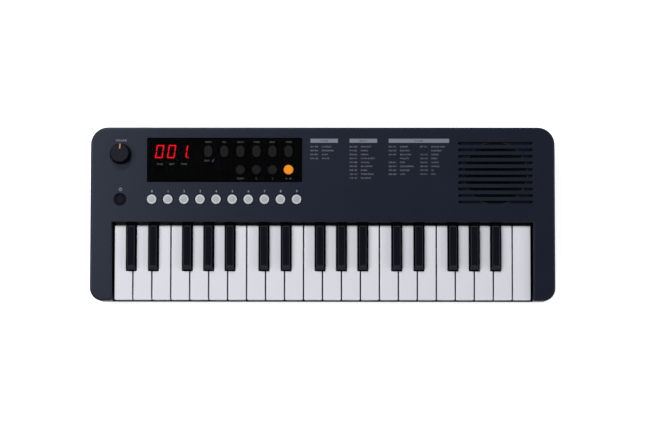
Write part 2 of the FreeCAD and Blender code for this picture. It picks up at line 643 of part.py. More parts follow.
def volume_potentiometer():
    """The volume control's can, bushing and solder tags. The shaft turns in its bore."""
    body = disc(KNOB_X, KNOB_Y, 8.0, BOARD_TOP, 41.5)
    bushing = disc(KNOB_X, KNOB_Y, 3.7, 41, 47)
    tags = []
    for x in (KNOB_X - 5, KNOB_X, KNOB_X + 5):
        tags.append(box(x - 0.8, x + 0.8, KNOB_Y - 11, KNOB_Y - 7, BOARD_TOP, BOARD_TOP + 0.7))
    return fuse(body, bushing, *tags).cut(disc(KNOB_X, KNOB_Y, SHAFT_RADIUS + 0.05, 35.5, 48))


def turned(shape):
    """A piece of the knob, turned with its pointer."""
    shape.rotate(V(KNOB_X, KNOB_Y, 0), V(0, 0, 1), POINTER_ANGLE)
    return shape


def volume_shaft():
    shaft = disc(KNOB_X, KNOB_Y, SHAFT_RADIUS, 36.2, KNOB_TOP - 1.8)
    flat = turned(box(KNOB_X - 4, KNOB_X + 4, KNOB_Y - 4, KNOB_Y - 1.5, 48, KNOB_TOP))
    return shaft.cut(flat)


def volume_knob():
    """A tapered knob with a bevelled top edge and an inlaid pointer."""
    side = cone(KNOB_X, KNOB_Y, KNOB_FOOT_RADIUS, KNOB_TOP_RADIUS + 0.35, KNOB_BOTTOM, KNOB_TOP - 0.6)
    crown = cone(KNOB_X, KNOB_Y, KNOB_TOP_RADIUS + 0.35, KNOB_TOP_RADIUS - 0.5, KNOB_TOP - 0.6, KNOB_TOP)
    knob = fuse(side, crown)
    recess = disc(KNOB_X, KNOB_Y, 4.6, 40, 47.8)
    bore = disc(KNOB_X, KNOB_Y, SHAFT_RADIUS, 40, KNOB_TOP - 1.8)
    bore = bore.cut(turned(box(KNOB_X - 4, KNOB_X + 4, KNOB_Y - 4, KNOB_Y - 1.5, 48, KNOB_TOP)))
    groove = box(
        KNOB_X - POINTER_HALF,
        KNOB_X + POINTER_HALF,
        KNOB_Y + POINTER_START,
        KNOB_Y + KNOB_FOOT_RADIUS + 1,
        KNOB_TOP - POINTER_DEPTH,
        KNOB_TOP + 1,
    )
    turned(groove)
    pointer = knob.common(groove)
    return [knob.cut([recess, bore, groove]), pointer]


# ---- speaker ----------------------------------------------------------------------------------------------
def speaker_frame():
    """Square-flanged steel basket with open windows, and the magnet with its plates."""
    x, y, half = SPEAKER_X, SPEAKER_Y, SPEAKER_FRAME_HALF
    low = BAFFLE_BOTTOM - 1.6
    flange = rounded(x - half, x + half, y - half, y + half, 6.0, low, BAFFLE_BOTTOM)
    basket = cone(x, y, 18.0, 34.0, 22.0, low + 0.4)
    hollow = cone(x, y, 16.8, 32.8, 23.2, low + 0.4)
    mouth = disc(x, y, 32.2, low - 0.6, BAFFLE_BOTTOM + 1)
    windows = []
    for i in range(6):
        window = box(x + 20, x + 40, y - 6, y + 6, 24.5, low - 3.0)
        window.rotate(V(x, y, 0), V(0, 0, 1), 60 * i + 30)
        windows.append(window)
    holes = [disc(x + a, y + b, 1.4, 0, TOP) for a, b in SPEAKER_SCREWS]
    steel = fuse(flange, basket).cut([hollow, mouth, *windows, *holes])
    magnet = fuse(disc(x, y, 14.0, 10.0, 12.0), disc(x, y, 20.0, 12.0, 20.5), disc(x, y, 17.0, 20.5, 22.0))
    coil_gap = disc(x, y, COIL_RADIUS + 0.5, 14.0, 30).cut(disc(x, y, COIL_RADIUS - 1.1, 13.0, 22.6))
    return [steel.cut(disc(x, y, COIL_RADIUS + 0.5, 20, 30)), magnet.cut(coil_gap)]


def speaker_cone():
    """Paper cone, rolled surround, dust cap and voice coil, turned about the speaker's axis."""
    thickness = 0.6
    under = [(0.0, 31.6), (4.5, 30.8), (8.0, 28.4), (9.0, 26.4), (27.0, 35.6), (29.2, 37.6), (31.9, 37.6)]
    over = [(r, z + thickness) for r, z in reversed(under)]
    outline = [V(SPEAKER_X + r, SPEAKER_Y, z) for r, z in under + over]
    face = Part.Face(Part.makePolygon([*outline, outline[0]]))
    cone_shape = face.revolve(V(SPEAKER_X, SPEAKER_Y, 0), V(0, 0, 1), 360)
    coil = disc(SPEAKER_X, SPEAKER_Y, COIL_RADIUS, 17.0, 26.8)
    coil = coil.cut(disc(SPEAKER_X, SPEAKER_Y, COIL_RADIUS - 0.6, 16, 28))
    return fuse(cone_shape, coil)


# ---- sockets on the back ----------------------------------------------------------------------------------
def usb_shell():
    """A flat oval metal receptacle with its tongue."""
    outer = rounded(USB_X - 4.5, USB_X + 4.5, JACK_Z - 1.65, JACK_Z + 1.65, 1.6, 0, 9.0)
    inner = rounded(USB_X - 4.2, USB_X + 4.2, JACK_Z - 1.35, JACK_Z + 1.35, 1.3, -1, 8.0)
    tongue = box(USB_X - 3.3, USB_X + 3.3, JACK_Z - 0.35, JACK_Z + 0.35, 1.5, 8.5)
    shell = fuse(outer.cut(inner), tongue)
    shell.rotate(V(0, 0, 0), V(1, 0, 0), 90)
    shell.mirror(V(0, 0, 0), V(0, 1, 0))
    shell.translate(V(0, REAR_Y - 0.4, 0))
    return shell


def jack_board():
    """The back's circuit board, with the pedal, headphone and USB sockets on it."""
    top = JACK_BOARD_BOTTOM + BOARD_THICKNESS
    board = box(*JACK_BOARD, JACK_BOARD_BOTTOM, top)
    board = board.cut([disc(x, y, 1.2, 0, TOP) for x, y in JACK_SCREWS])
    pedal = box(PEDAL_X - 7.5, PEDAL_X + 7.5, JACK_FACE_Y - 27, JACK_FACE_Y, top, JACK_Z + 6)
    pedal = pedal.cut(rod_y(PEDAL_BORE, PEDAL_X, JACK_FACE_Y - 25, REAR_Y, JACK_Z))
    phones = box(PHONES_X - 4.5, PHONES_X + 4.5, JACK_FACE_Y - 14, JACK_FACE_Y, top, JACK_Z + 4)
    phones = phones.cut(rod_y(PHONES_BORE, PHONES_X, JACK_FACE_Y - 12.5, REAR_Y, JACK_Z))
    riser = box(USB_X - 4.5, USB_X + 4.5, REAR_Y - 10, JACK_FACE_Y - 0.5, top, JACK_Z - 1.65)
    return [board, pedal, phones, riser, usb_shell()]


# ---- battery contacts and screws --------------------------------------------------------------------------
def coil_spring(x, y, direction):
    """A conical contact spring whose axis lies along X and whose wide end is at x."""
    wire, turns, pitch = 0.35, 4.0, 1.7
    helix = Part.makeHelix(pitch, pitch * turns, 4.2, -18.0)
    start = helix.Vertexes[0].Point
    ring = Part.Wire(Part.makeCircle(wire, start, V(0, 1, pitch / (2 * math.pi * 4.2))))
    coil = Part.Wire(helix).makePipeShell([ring], True, True)
    coil.rotate(V(0, 0, 0), V(0, 1, 0), 90)
    coil.translate(V(wire, 0, 0))
    coil.rotate(V(0, 0, 0), V(0, 0, 1), 90 - 90 * direction)
    coil.translate(V(x, y, CELL_Z))
    return coil


def battery_contacts():
    """A plate and a spring at one end of each row of cells, and two plates at the other."""
    pieces = []
    for row, y in enumerate(CELL_ROWS):
        for direction in (1, -1):
            wall_x = -direction * BAY_HALF_X
            x0, x1 = sorted((wall_x, wall_x + 0.4 * direction))
            pieces.append(box(x0, x1, y - 5, y + 5, CELL_Z - 5, CELL_Z + 5))
            if (row == 0) == (direction == 1):
                pieces.append(coil_spring(wall_x + 0.4 * direction, y, direction))
    return pieces


def screw(x, y, seat, length, radius, head_radius):
    """A cross-head screw driven upwards, its head under the height seat."""
    head = disc(x, y, head_radius, seat - 1.8, seat)
    head = head.makeFillet(0.5, edges_at(head, seat - 1.8))
    arm, reach = 0.3 * radius, 0.62 * head_radius
    cross = [
        box(x - arm, x + arm, y - reach, y + reach, seat - 2, seat - 1),
        box(x - reach, x + reach, y - arm, y + arm, seat - 2, seat - 1),
    ]
    return fuse(head, disc(x, y, radius, seat, seat + length)).cut(cross)


def screws():
    every = [screw(x, y, COUNTERBORE[1], 22.0, SCREW_RADIUS, 2.8) for x, y in CASE_SCREWS]
    board_bottom = BOARD_TOP - BOARD_THICKNESS
    every += [screw(x, y, board_bottom, 6.0, 1.0, 2.0) for x, y in BOARD_POSTS]
    flange_bottom = BAFFLE_BOTTOM - 1.6
    every += [screw(SPEAKER_X + x, SPEAKER_Y + y, flange_bottom, 4.4, 1.2, 2.4) for x, y in SPEAKER_SCREWS]
    flipped = [screw(x, y, -FRAME_TOP, 7.6, FRAME_SCREW_RADIUS, 2.4) for x, y in FRAME_POSTS]
    jack_top = JACK_BOARD_BOTTOM + BOARD_THICKNESS
    flipped += [screw(x, y, -jack_top, 5.5, 1.0, 2.0) for x, y in JACK_SCREWS]
    return every + [s.mirror(V(0, 0, 0), V(0, 0, 1)) for s in flipped]


def main():
    os.makedirs("parts", exist_ok=True)
    save("upper_case", *upper_case())
    save("lower_case", lower_case())
    save("battery_cover", battery_cover())
    save("rubber_feet", *rubber_feet())
    save("key_frame", *key_frame())
    save("key_contact_board", key_contact_board())
    save("key_contact_strip", key_contact_strip())
    for index in range(WHITE_COUNT):
        octave, step = divmod(index, 7)
        save(f"white_key_{WHITE_NOTES[step]}{FIRST_OCTAVE + octave}", white_key(index))
    for note, x in black_centres().items():
        save(f"black_key_{note}", black_key(x))
    save("display_window", display_window())
    save("led_display", led_display())
    save("control_board", *control_board())
    save("number_buttons", *[round_cap(x, NUMBER_Y, NUMBER_RADIUS, 46.8) for x in NUMBER_X])
    save("function_buttons", *[oval_cap(x, FUNCTION_Y, 46.0) for x in FUNCTION_X])
    save("select_buttons", *[round_cap(x, SELECT_Y, SELECT_RADIUS, 46.0, 0.6) for x in SELECT_X])
    save("start_stop_button", round_cap(START_X, SELECT_Y, START_RADIUS, 46.6))
    save("power_button", round_cap(KNOB_X, POWER_Y, POWER_RADIUS, 43.9, hole=POWER_HOLE))
    save("volume_potentiometer", volume_potentiometer())
    save("volume_shaft", volume_shaft())
    save("volume_knob", *volume_knob())
    save("speaker_frame", *speaker_frame())
    save("speaker_cone", speaker_cone())
    save("jack_board", *jack_board())
    save("battery_contacts", *battery_contacts())
    save("screws", *screws())


main()
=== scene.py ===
"""The looks of a mini-key keyboard synthesizer: materials, printing, display, rubber domes and studio.

Everything is in metres in the model's own frame: X towards the high notes, Y away from the player, Z up.
"""

import json
import math

import bmesh
import bpy
from mathutils import Matrix, Vector


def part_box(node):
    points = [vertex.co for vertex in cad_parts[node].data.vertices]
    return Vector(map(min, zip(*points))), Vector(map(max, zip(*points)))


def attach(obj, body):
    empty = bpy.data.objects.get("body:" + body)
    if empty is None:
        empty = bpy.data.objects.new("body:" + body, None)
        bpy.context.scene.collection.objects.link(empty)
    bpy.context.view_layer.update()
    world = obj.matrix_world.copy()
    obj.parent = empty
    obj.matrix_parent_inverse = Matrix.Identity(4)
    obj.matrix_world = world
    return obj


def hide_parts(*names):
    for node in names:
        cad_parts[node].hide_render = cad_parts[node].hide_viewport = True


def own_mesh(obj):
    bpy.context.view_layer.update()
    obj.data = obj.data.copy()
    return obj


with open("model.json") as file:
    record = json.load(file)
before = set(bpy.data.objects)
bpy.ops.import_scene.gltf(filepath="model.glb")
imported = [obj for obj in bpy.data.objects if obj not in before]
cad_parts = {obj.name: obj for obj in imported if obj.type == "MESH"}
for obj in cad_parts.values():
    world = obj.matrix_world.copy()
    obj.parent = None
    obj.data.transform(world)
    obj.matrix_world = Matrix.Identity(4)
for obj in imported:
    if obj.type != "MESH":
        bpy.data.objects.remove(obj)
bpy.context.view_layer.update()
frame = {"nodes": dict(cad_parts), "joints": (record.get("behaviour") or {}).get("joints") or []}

MM = 0.001
INK = 0.03 * MM  # how far printing stands off the surface that carries it

# ---- places, taken from the model -------------------------------------------------------------------------
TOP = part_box("upper_case")[1].z
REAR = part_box("upper_case")[1].y
WINDOW_LOW, WINDOW_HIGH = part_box("display_window")


def middle(node):
    low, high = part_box(node)
    return (low + high) / 2


def row_of_centres(node, count):
    """The centres along X of a row of round caps."""
    low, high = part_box(node)
    radius = (high.y - low.y) / 2
    pitch = (high.x - low.x - 2 * radius) / (count - 1)
    return [low.x + radius + pitch * i for i in range(count)]


NUMBER_X = row_of_centres("number_buttons", 10)
NUMBER_Y = middle("number_buttons").y
COLUMN = NUMBER_X[1] - NUMBER_X[0]
START_X = middle("start_stop_button").x
FUNCTION_X = [START_X + COLUMN * (i - 5) for i in range(6)]
FUNCTION_Y = middle("function_buttons").y
SELECT_Y = middle("select_buttons").y
KNOB = middle("volume_knob")
KNOB_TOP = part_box("volume_knob")[1].z
POWER = middle("power_button")
SPEAKER = middle("speaker_cone")
DISPLAY = middle("led_display")
DISPLAY_LOW, DISPLAY_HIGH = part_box("led_display")
VIEW_WIDTH = 0.6673  # what the picture takes in at the panel's level
VIEW_CENTRE_Y = -1.1 * MM
CAMERA_ROLL = math.radians(0.08)
KEY_HEAD_REAR = -11.65 * MM  # behind this the keys are levers, painted near-black as the shade under the panel
POINTER_ANGLE = math.radians(-4.5)
POINTER_HALF = 0.6 * MM
POINTER_START = 4.4 * MM
DIGIT_PITCH = 12.4 * MM
PEDAL_X, PHONES_X, USB_X = 80 * MM, 101 * MM, 117 * MM
SOCKET_Z = 29.6 * MM
COLLARS = ((PEDAL_X, 3.3 * MM, 6.3 * MM), (PHONES_X, 1.85 * MM, 4.1 * MM))  # place, bore, outer radius

# ---- what the panel says ----------------------------------------------------------------------------------
FUNCTION_WORDS = ["MODE", "FILL", "HOLD", "TUNE", "BEAT", "TONE"]
DISPLAY_WORDS = ["TUNE", "BEAT", "TONE"]
WINDOW_WORD_SIZE = 2.4 * MM
TITLE_SIZE = 2.6 * MM
VOLUME_SIZE = 2.8 * MM
NUMERAL_SIZE = 3.4 * MM
LIST_SIZE = 2.15 * MM
LIST_ROW = 4.08 * MM
LIST_TOP = 69.2 * MM  # the first row's base line
HEADER = (74.0 * MM, 78.2 * MM)
# Each list: its title, the header bar's ends, then columns of (left edge, [(words, how many numbers)]).
LISTS = [
    ("TUNES", -12.6, 15.9, [(-12.6, [("CLASSICS", 8), ("EVERGREEN", 28), ("SLOW", 16), ("WALTZ", 48)])]),
    (
        "BEATS",
        27.9,
        56.5,
        [
            (
                27.9,
                [
                    ("STRAIGHT", 18),
                    ("SWING", 19),
                    ("MARCH", 16),
                    ("SLOW & SOFT", 21),
                    ("SHUFFLE", 14),
                    ("BALLROOM", 9),
                    ("BOSSA", 8),
                    ("THREE FOUR", 9),
                    ("SIX EIGHT", 9),
                ],
            )
        ],
    ),
    (
        "TONES",
        68.5,
        131.1,
        [
            (
                68.5,
                [
                    ("GRAND", 15),
                    ("ELECTRIC", 15),
                    ("BELLS AND", 17),
                    ("MALLETS", 0),
                    ("PIPES", 14),
                    ("SQUEEZEBOX", 13),
                    ("PLUCKED", 11),
                    ("LOW", 11),
                ],
            ),
            (
                100.9,
                [
                    ("BOWED AND", 25),
                    ("ENSEMBLE", 0),
                    ("HORNS", 16),
                    ("REEDS", 18),
                    ("WAVES", 26),
                    ("WORLD", 8),
                    ("FX", 9),
                    ("KITS", 13),
                ],
            ),
        ],
    ),
]
WORD_INDENT = 11.7 * MM

READING = "001"
DIGIT_HALF = (3.9 * MM, 6.86 * MM)  # half the size of a digit, over its segments
SEGMENT_WIDTH = 1.2 * MM
SEGMENT_GAP = 0.1 * MM
SLANT = math.tan(math.radians(8.1))
POINT_PLACE = Vector((4.45 * MM, -6.1 * MM, 0))  # of a digit's point, from the digit's middle
POINT_RADIUS = 0.7 * MM


# ---- materials --------------------------------------------------------------------------------------------
class Look:
    """A Principled material whose colour, roughness and relief vary over the object's own space."""

    def __init__(self, name, **uniform):
        self.material = bpy.data.materials.new(name)
        self.material.use_nodes = True
        self.tree = self.material.node_tree
        self.shader = self.tree.nodes["Principled BSDF"]
        self.place = self.tree.nodes.new("ShaderNodeTexCoord").outputs["Object"]
        for socket, value in uniform.items():
            self.shader.inputs[socket.replace("_", " ")].default_value = value

    def noise(self, size, detail=2.0, stretch=(1, 1, 1)):
        """Noise whose features are about size across, made longer along an axis by a stretch above 1."""
        mapping = self.tree.nodes.new("ShaderNodeMapping")
        mapping.inputs["Scale"].default_value = [1 / s for s in stretch]
        self.tree.links.new(self.place, mapping.inputs["Vector"])
        texture = self.tree.nodes.new("ShaderNodeTexNoise")
        texture.inputs["Scale"].default_value = 1 / size
        texture.inputs["Detail"].default_value = detail
        self.tree.links.new(mapping.outputs["Vector"], texture.inputs["Vector"])
        return texture.outputs["Fac"]

    def cells(self, size, feature="F1"):
        texture = self.tree.nodes.new("ShaderNodeTexVoronoi")
        texture.feature = feature
        texture.inputs["Scale"].default_value = 1 / size
        self.tree.links.new(self.place, texture.inputs["Vector"])
        return texture.outputs["Distance"]

    def math(self, operation, first, second):
        node = self.tree.nodes.new("ShaderNodeMath")
        node.operation = operation
        for socket, value in zip(node.inputs, (first, second)):
            if isinstance(value, (int, float)):
                socket.default_value = value
            else:
                self.tree.links.new(value, socket)
        return node.outputs["Value"]

    def seen_from(self, centre, turn=0.0):
        """The surface point in a frame that is centred on a point and turned about Z."""
        mapping = self.tree.nodes.new("ShaderNodeMapping")
        mapping.vector_type = "TEXTURE"
        mapping.inputs["Location"].default_value = centre
        mapping.inputs["Rotation"].default_value = (0, 0, turn)
        self.tree.links.new(self.place, mapping.inputs["Vector"])
        return mapping.outputs["Vector"]

    def axis(self, name, centre=(0, 0, 0), turn=0.0):
        """One coordinate of the surface point, seen from a centre and turned about Z."""
        split = self.tree.nodes.new("ShaderNodeSeparateXYZ")
        self.tree.links.new(self.seen_from(centre, turn), split.inputs["Vector"])
        return split.outputs[name]

    def tilt(self):
        """1 where the surface faces up, 0 where it is upright."""
        geometry = self.tree.nodes.new("ShaderNodeNewGeometry")
        split = self.tree.nodes.new("ShaderNodeSeparateXYZ")
        self.tree.links.new(geometry.outputs["Normal"], split.inputs["Vector"])
        return split.outputs["Z"]

    def rings(self, centre, spacing):
        """Waves that run round a vertical axis through centre."""
        wave = self.tree.nodes.new("ShaderNodeTexWave")
        wave.wave_type = "RINGS"
        wave.rings_direction = "Z"
        wave.inputs["Scale"].default_value = math.pi / (10 * spacing)
        self.tree.links.new(self.seen_from(centre), wave.inputs["Vector"])
        return wave.outputs["Fac"]

    def spread(self, factor, low, high, start=0.3, end=0.7):
        """The factor's middle range spread between low and high."""
        node = self.tree.nodes.new("ShaderNodeMapRange")
        node.inputs["From Min"].default_value = start
        node.inputs["From Max"].default_value = end
        node.inputs["To Min"].default_value = low
        node.inputs["To Max"].default_value = high
        self.tree.links.new(factor, node.inputs["Value"])
        return node.outputs["Result"]

    def blend(self, factor, first, second):
        """A colour between first and second; either may be a colour or another blend."""
        node = self.tree.nodes.new("ShaderNodeMix")
        node.data_type = "RGBA"
        self.tree.links.new(factor, node.inputs["Factor"])
        colour_sockets = (node.inputs[6], node.inputs[7])
        for socket, value in zip(colour_sockets, (first, second)):
            if isinstance(value, tuple):
                socket.default_value = (*value, 1)
            else:
                self.tree.links.new(value, socket)
        return node.outputs[2]

    def colour(self, source):
        self.tree.links.new(source, self.shader.inputs["Base Color"])

    def mottle(self, first, second, size):
        """A soft, uneven colour."""
        self.colour(self.blend(self.spread(self.noise(size, 4.0), 0, 1), first, second))

    def rough(self, low, high, size):
        self.tree.links.new(self.spread(self.noise(size), low, high), self.shader.inputs["Roughness"])

    def relief(self, height, depth):
        """Relief of that depth; a second call adds finer relief on top."""
        node = self.tree.nodes.new("ShaderNodeBump")
        node.inputs["Distance"].default_value = depth
        self.tree.links.new(height, node.inputs["Height"])
        normal = self.shader.inputs["Normal"]
        if normal.is_linked:
            self.tree.links.new(normal.links[0].from_socket, node.inputs["Normal"])
        self.tree.links.new(node.outputs["Normal"], normal)


def moulded(name, dark, light, rough, grain, depth, **uniform):
    """Moulded plastic: a faintly uneven colour and a fine spark-eroded grain."""
    look = Look(name, **uniform)
    look.mottle(dark, light, 35 * MM)
    look.rough(rough[0], rough[1], 2.5 * MM)
    look.relief(look.noise(grain, 3.0), depth)
    return look


def case_plastic():
    look = moulded(
        "case_plastic",
        (0.0078, 0.0098, 0.0198),
        (0.0089, 0.0111, 0.0220),
        (0.34, 0.40),
        0.45 * MM,
        0.01 * MM,
        Specular_IOR_Level=0.27,
        Specular_Tint=(0.72, 0.84, 1.0, 1.0),
    )
    look.relief(look.cells(0.7 * MM), 0.006 * MM)
    return look.material


def white_keys():
    """Polished white heads; the levers behind them, under the panel, are painted near-black as the panel's
    shade.
    """
    look = Look("white_keys", Coat_Weight=0.25)
    patches = look.spread(look.noise(35 * MM, 4.0), 0, 1)
    head = look.blend(patches, (0.725, 0.73, 0.785), (0.745, 0.75, 0.80))
    # painted shade: behind the heads the keys take a near-black colour for the shade under the panel
    under_panel_shade = look.math("GREATER_THAN", look.axis("Y"), KEY_HEAD_REAR)
    look.colour(look.blend(under_panel_shade, head, (0.006, 0.006, 0.007)))
    look.rough(0.17, 0.22, 2.5 * MM)
    look.relief(look.noise(6 * MM, 3.0), 0.01 * MM)
    look.relief(look.noise(0.3 * MM), 0.002 * MM)
    return look.material


def black_keys():
    """Satin black, with a painted highlight on the front slope and where the top rounds over, and painted
    shade on the flanks.
    """
    look = Look("black_keys", Specular_IOR_Level=0.0)
    patches = look.spread(look.noise(35 * MM, 4.0), 0, 1)
    body = look.blend(patches, (0.0058, 0.0070, 0.0108), (0.0070, 0.0083, 0.0125))
    tilt = look.tilt()
    # painted highlight: a paler colour on the front slope and the rounded top edges, chosen by the surface's
    # tilt
    painted_edge_highlight = look.math("MULTIPLY", look.spread(tilt, 0, 1, 0.3, 0.55), look.spread(tilt, 1, 0, 0.93, 0.99))
    # painted shade: a darker colour on the upright flanks
    painted_flank_shade = look.spread(tilt, 1, 0, 0.15, 0.45)
    body = look.blend(painted_flank_shade, body, (0.0025, 0.003, 0.0042))
    look.colour(look.blend(painted_edge_highlight, body, (0.045, 0.049, 0.058)))
    look.rough(0.3, 0.38, 2.5 * MM)
    look.relief(look.noise(0.4 * MM, 3.0), 0.004 * MM)
    return look.material


def dark_caps():
    look = moulded(
        "dark_caps",
        (0.0082, 0.0086, 0.0096),
        (0.0100, 0.0104, 0.0115),
        (0.4, 0.48),
        0.3 * MM,
        0.005 * MM,
        Specular_IOR_Level=0.06,
    )
    return look.material


def power_cap():
    look = moulded(
        "power_cap",
        (0.0052, 0.0054, 0.0105),
        (0.0066, 0.0068, 0.0122),
        (0.4, 0.48),
        0.3 * MM,
        0.005 * MM,
        Specular_IOR_Level=0.06,
    )
    return look.material


def skirted_cap(name, dark, light, **uniform):
    """A button cap whose skirt, inside the panel's hole, is painted near-black as the shade in the gap round
    the cap.
    """
    look = Look(name, **uniform)
    body = look.blend(look.spread(look.noise(35 * MM, 4.0), 0, 1), dark, light)
    # painted shade: below the panel's top the cap is near-black, for the shade in the gap round it
    unshaded_top = look.math("GREATER_THAN", look.axis("Z"), TOP + 0.1 * MM)
    look.colour(look.blend(unshaded_top, (0.004, 0.004, 0.0045), body))
    look.rough(0.34, 0.42, 2.5 * MM)
    look.relief(look.noise(0.3 * MM, 3.0), 0.006 * MM)
    return look.material


def grey_insets():
    dark, light = (0.355, 0.37, 0.41), (0.385, 0.40, 0.44)
    look = moulded("grey_insets", dark, light, (0.4, 0.48), 0.3 * MM, 0.008 * MM)
    return look.material


def knob_plastic():
    """A dark satin top with an amber inlay where the pointer is; the wall below the top is painted near-black
    as shade.
    """
    look = Look("knob_plastic", Specular_IOR_Level=0.06)
    patches = look.spread(look.noise(6 * MM, 4.0), 0, 1)
    body = look.blend(patches, (0.0088, 0.0098, 0.0165), (0.0105, 0.0116, 0.0190))
    # painted shade: below the top the knob's wall is near-black, for the shade on its side
    upper = look.math("GREATER_THAN", look.axis("Z"), KNOB_TOP - 0.5 * MM)
    body = look.blend(upper, (0.0012, 0.0012, 0.0016), body)
    across = look.math("ABSOLUTE", look.axis("X", tuple(KNOB), POINTER_ANGLE), 0)
    along = look.axis("Y", tuple(KNOB), POINTER_ANGLE)
    height = look.axis("Z")
    inside = look.math("LESS_THAN", across, POINTER_HALF + 0.01 * MM)
    inside = look.math("MULTIPLY", inside, look.math("GREATER_THAN", along, POINTER_START - 0.02 * MM))
    inside = look.math("MULTIPLY", inside, look.math("GREATER_THAN", height, KNOB_TOP - 0.92 * MM))
    look.colour(look.blend(inside, body, (0.56, 0.245, 0.08)))
    look.rough(0.4, 0.5, 1.5 * MM)
    look.relief(look.noise(0.35 * MM, 3.0), 0.015 * MM)
    return look.material


def window_acrylic():
    """Smoked acrylic: clear enough to show the lit digits under it, and very slightly wavy."""
    look = Look("window_acrylic", Transmission_Weight=1.0, IOR=1.49)
    look.mottle((0.16, 0.165, 0.175), (0.18, 0.185, 0.195), 40 * MM)
    look.rough(0.015, 0.04, 1.2 * MM)
    look.relief(look.noise(25 * MM), 0.01 * MM)
    return look.material


def mask_paint():
    look = moulded(
        "mask_paint",
        (0.0015, 0.0016, 0.002),
        (0.0025, 0.0026, 0.003),
        (0.5, 0.6),
        0.6 * MM,
        0.01 * MM,
        Specular_IOR_Level=0.1,
    )
    return look.material


def display_body():
    dark, light = (0.006, 0.005, 0.0055), (0.009, 0.007, 0.0075)
    look = moulded("display_body", dark, light, (0.5, 0.6), 0.5 * MM, 0.01 * MM)
    return look.material


def glow(name, core, edge, strength):
    """A lit segment, a little uneven where its diffuser is thinner."""
    look = Look(name, Emission_Strength=strength, Roughness=0.4)
    colour = look.blend(look.spread(look.noise(0.9 * MM), 0, 1), edge, core)
    look.colour(colour)
    look.tree.links.new(colour, look.shader.inputs["Emission Color"])
    return look.material


def dark_segment():
    look = Look("dark_segment", Roughness=0.4)
    look.mottle((0.045, 0.004, 0.005), (0.06, 0.006, 0.007), 1 * MM)
    return look.material


def ink(name, dark, light):
    """Screen-printed ink, thin enough that its cover varies."""
    look = Look(name)
    look.mottle(dark, light, 0.8 * MM)
    look.rough(0.45, 0.6, 0.5 * MM)
    look.relief(look.noise(0.2 * MM), 0.004 * MM)
    return look.material


def solder_mask(look, size):
    """Where the tracks are, and the green over them and between them."""
    tracks = look.math("LESS_THAN", look.cells(size, "DISTANCE_TO_EDGE"), 0.09)
    return tracks, look.blend(tracks, (0.012, 0.10, 0.035), (0.03, 0.20, 0.07))


def circuit_board():
    """Green solder mask over tracks, with bare pads; black where switches and chips stand on it."""
    look = Look("circuit_board")
    tracks, green = solder_mask(look, 3.2 * MM)
    pads = look.math("LESS_THAN", look.cells(4.7 * MM), 0.12)
    green = look.blend(pads, green, (0.55, 0.54, 0.50))
    raised = look.math("GREATER_THAN", look.axis("Z"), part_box("led_display")[0].z + 0.05 * MM)
    look.colour(look.blend(raised, green, (0.015, 0.015, 0.016)))
    look.rough(0.3, 0.42, 2 * MM)
    look.relief(tracks, 0.03 * MM)
    return look.material


def socket_plastic():
    """The rear board's green mask below, black socket housings above, bare metal at the USB shell."""
    look = Look("socket_plastic")
    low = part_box("jack_board")[0]
    green = solder_mask(look, 3.0 * MM)[1]
    housing = look.math("GREATER_THAN", look.axis("Z"), low.z + 1.63 * MM)
    body = look.blend(housing, green, (0.014, 0.014, 0.015))
    shell = look.math("MULTIPLY", housing, look.math("GREATER_THAN", look.axis("X"), USB_X - 5 * MM))
    look.colour(look.blend(shell, body, (0.62, 0.62, 0.60)))
    look.tree.links.new(shell, look.shader.inputs["Metallic"])
    look.rough(0.28, 0.4, 1.5 * MM)
    look.relief(look.noise(0.4 * MM), 0.01 * MM)
    return look.material


def frame_plastic():
    """Black key bed with a dark red felt strip along its front."""
    look = Look("frame_plastic")
    low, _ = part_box("key_frame")
    patches = look.spread(look.noise(8 * MM, 4.0), 0, 1)
    black = look.blend(patches, (0.016, 0.016, 0.018), (0.022, 0.022, 0.025))
    fibres = look.spread(look.noise(0.5 * MM, 5.0), 0, 1)
    felt = look.blend(fibres, (0.05, 0.004, 0.006), (0.13, 0.012, 0.015))
    front = look.math("LESS_THAN", look.axis("Y"), low.y + 3.95 * MM)
    upper = look.math("GREATER_THAN", look.axis("Z"), low.z + 6.02 * MM)
    look.colour(look.blend(look.math("MULTIPLY", front, upper), black, felt))
    look.rough(0.5, 0.8, 1 * MM)
    look.relief(look.noise(0.35 * MM, 4.0), 0.04 * MM)
    return look.material


def silicone():
    look = Look("silicone", Subsurface_Weight=0.15, Subsurface_Scale=0.002)
    look.mottle((0.40, 0.41, 0.42), (0.46, 0.47, 0.48), 5 * MM)
    look.rough(0.5, 0.65, 1 * MM)
    look.relief(look.noise(0.3 * MM), 0.01 * MM)
    return look.material


def rubber():
    look = moulded("rubber", (0.012, 0.012, 0.013), (0.02, 0.02, 0.021), (0.75, 0.9), 0.5 * MM, 0.05 * MM)
    return look.material


def brushed(name, dark, light, rough, stretch):
    """Metal with fine lines along one axis."""
    look = Look(name, Metallic=1.0)
    lines = look.noise(0.15 * MM, 3.0, stretch)
    look.colour(look.blend(look.spread(lines, 0, 1), dark, light))
    look.rough(rough[0], rough[1], 0.6 * MM)
    look.relief(lines, 0.008 * MM)
    return look.material


def speaker_steel():
    """Black lacquered basket; the magnet at its bottom is bare ferrite."""
    look = Look("speaker_steel")
    low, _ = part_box("speaker_frame")
    patches = look.spread(look.noise(4 * MM, 4.0), 0, 1)
    lacquer = look.blend(patches, (0.02, 0.02, 0.022), (0.03, 0.03, 0.033))
    grains = look.spread(look.noise(0.6 * MM, 5.0), 0, 1)
    ferrite = look.blend(grains, (0.035, 0.033, 0.032), (0.07, 0.066, 0.064))
    magnet = look.math("LESS_THAN", look.axis("Z"), low.z + 12 * MM)
    look.colour(look.blend(magnet, lacquer, ferrite))
    look.rough(0.35, 0.55, 1 * MM)
    look.relief(look.noise(0.7 * MM, 4.0), 0.03 * MM)
    return look.material


